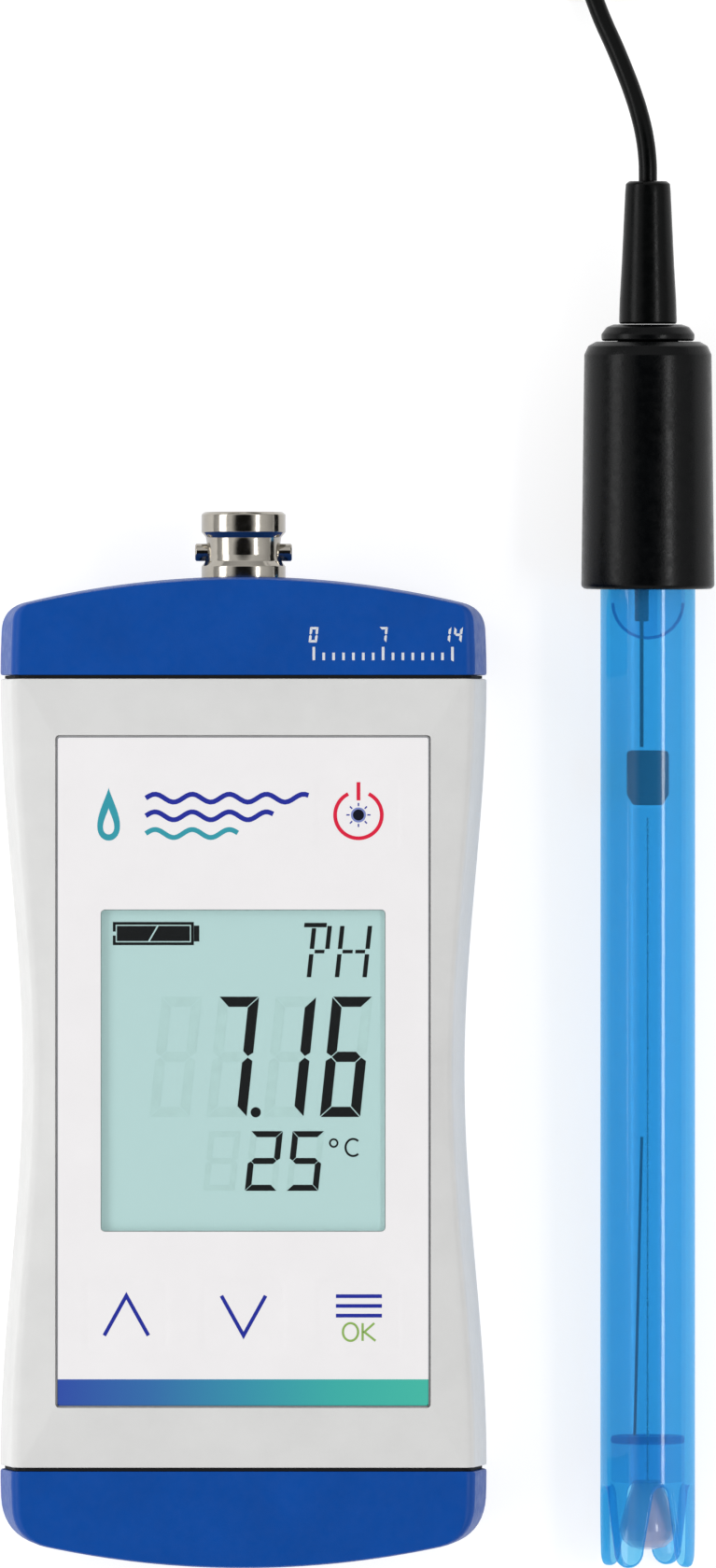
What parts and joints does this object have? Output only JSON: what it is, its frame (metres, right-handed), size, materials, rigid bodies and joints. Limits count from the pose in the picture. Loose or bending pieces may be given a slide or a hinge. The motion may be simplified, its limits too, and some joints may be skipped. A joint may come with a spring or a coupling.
{
  "type": "ph meter",
  "caption": "Handheld pH meter with display and press keys, lying beside its blue combination electrode, whose cable is coiled and ends in a coaxial bayonet plug.",
  "frame": {"origin": "centre of the meter's flat rear face, which rests on the table", "axes": "+Y along the meter to its electrode socket, +Z out of its display face, +X to the electrode"},
  "size_m": [0.0871, 0.2155, 0.0277],
  "materials": {
    "grey_shell": "light grey moulded ABS, fine satin texture",
    "blue_cap": "blue moulded ABS, fine satin texture",
    "black_rubber": "black silicone rubber",
    "foil": "printed polyester foil, satin",
    "window": "clear polyester window",
    "lcd": "grey-green reflective liquid crystal glass",
    "diffuser": "white light guide",
    "dark_plastic": "dark grey moulded plastic",
    "board": "green solder mask",
    "chip": "black epoxy",
    "steel": "stainless and spring steel",
    "nickel": "polished nickel plating",
    "brass": "gold-plated brass",
    "white_insulator": "white fluoropolymer",
    "cell_wrap": "printed steel jacket",
    "blue_shaft": "transparent blue polycarbonate",
    "potting": "clear resin",
    "bulb_glass": "thin clear glass",
    "silver": "silver wire",
    "black_plastic": "black moulded plastic, fine grain",
    "cable_pvc": "black flexible PVC"
  },
  "bodies": {
    "meter_case": {"front_shell": "grey_shell", "rear_shell": "grey_shell", "case_seal": "black_rubber", "top_cap": "blue_cap", "front_foil": "foil", "display_window": "window", "lcd_glass": "lcd", "lcd_frame": "dark_plastic", "backlight": "diffuser", "zebra_strip": "black_rubber", "circuit_board": "board", "microcontroller": "chip", "input_amplifier": "chip", "battery_tray": "dark_plastic", "contact_spring": "steel", "contact_plate": "steel", "switch_power": "chip", "switch_up": "chip", "switch_down": "chip", "switch_menu": "chip", "case_screw_1": "steel", "case_screw_2": "steel", "case_screw_3": "steel", "case_screw_4": "steel", "jack_shell": "nickel", "jack_insulator": "white_insulator", "jack_contact": "brass", "jack_nut": "nickel", "jack_seal": "black_rubber", "signal_wire": "cable_pvc"},
    "power_key": {"key_power": "foil"},
    "up_key": {"key_up": "foil"},
    "down_key": {"key_down": "foil"},
    "menu_key": {"key_menu": "foil"},
    "battery_cap": {"bottom_cap": "blue_cap", "bottom_seal": "black_rubber", "contact_bridge": "steel"},
    "left_cap_screw": {"cap_screw_left": "steel"},
    "right_cap_screw": {"cap_screw_right": "steel"},
    "left_cell": {"cell_left": "cell_wrap"},
    "right_cell": {"cell_right": "cell_wrap"},
    "electrode": {"electrode_shaft": "blue_shaft", "glass_bulb": "bulb_glass", "bulb_wire": "silver", "reference_wire": "silver", "junction_plug": "blue_shaft", "stem_bung": "black_rubber", "inner_lead": "cable_pvc", "potting_plug": "potting", "electrode_grip": "black_plastic", "grip_collar": "black_plastic", "strain_relief": "cable_pvc", "cable_lead": "cable_pvc", "cable_coil": "cable_pvc", "cable_tail": "cable_pvc", "plug_boot": "cable_pvc", "plug_body": "nickel", "plug_insulator": "white_insulator", "plug_pin": "brass"},
    "plug_nut": {"plug_nut": "nickel"}
  },
  "joints": [
    {"name": "power_key_press", "type": "slide", "parent": "meter_case", "child": "power_key", "axis": [0, 0, -1], "range_m": [0, 0.0004], "stiffness_N_per_m": 5000},
    {"name": "up_key_press", "type": "slide", "parent": "meter_case", "child": "up_key", "axis": [0, 0, -1], "range_m": [0, 0.0004], "stiffness_N_per_m": 5000},
    {"name": "down_key_press", "type": "slide", "parent": "meter_case", "child": "down_key", "axis": [0, 0, -1], "range_m": [0, 0.0004], "stiffness_N_per_m": 5000},
    {"name": "menu_key_press", "type": "slide", "parent": "meter_case", "child": "menu_key", "axis": [0, 0, -1], "range_m": [0, 0.0004], "stiffness_N_per_m": 5000},
    {"name": "battery_cap_slide", "type": "slide", "parent": "meter_case", "child": "battery_cap", "axis": [0, -1, 0], "range_m": [0, 0.075]},
    {"name": "cap_screw_left_turn", "type": "hinge", "parent": "battery_cap", "child": "left_cap_screw", "pos_m": [-0.0206, -0.0505, 0.0092], "axis": [0, -1, 0], "continuous": true},
    {"name": "cap_screw_right_turn", "type": "hinge", "parent": "battery_cap", "child": "right_cap_screw", "pos_m": [0.0206, -0.0505, 0.0092], "axis": [0, -1, 0], "continuous": true},
    {"name": "left_cell_slide", "type": "slide", "parent": "meter_case", "child": "left_cell", "axis": [0, -1, 0], "range_m": [0, 0.0525]},
    {"name": "right_cell_slide", "type": "slide", "parent": "meter_case", "child": "right_cell", "axis": [0, -1, 0], "range_m": [0, 0.0525]},
    {"name": "electrode_lift", "type": "slide", "parent": "meter_case", "child": "electrode", "axis": [0, 0, 1], "range_m": [0, 0.12]},
    {"name": "plug_nut_turn", "type": "hinge", "parent": "electrode", "child": "plug_nut", "pos_m": [-0.0235, 0.15, 0.0073], "axis": [-1, 0, 0], "continuous": true}
  ],
  "couplings": [
    {"joint": "left_cell_slide", "follows": "battery_cap_slide", "ratio": 0.7},
    {"joint": "right_cell_slide", "follows": "battery_cap_slide", "ratio": 0.7}
  ]
}
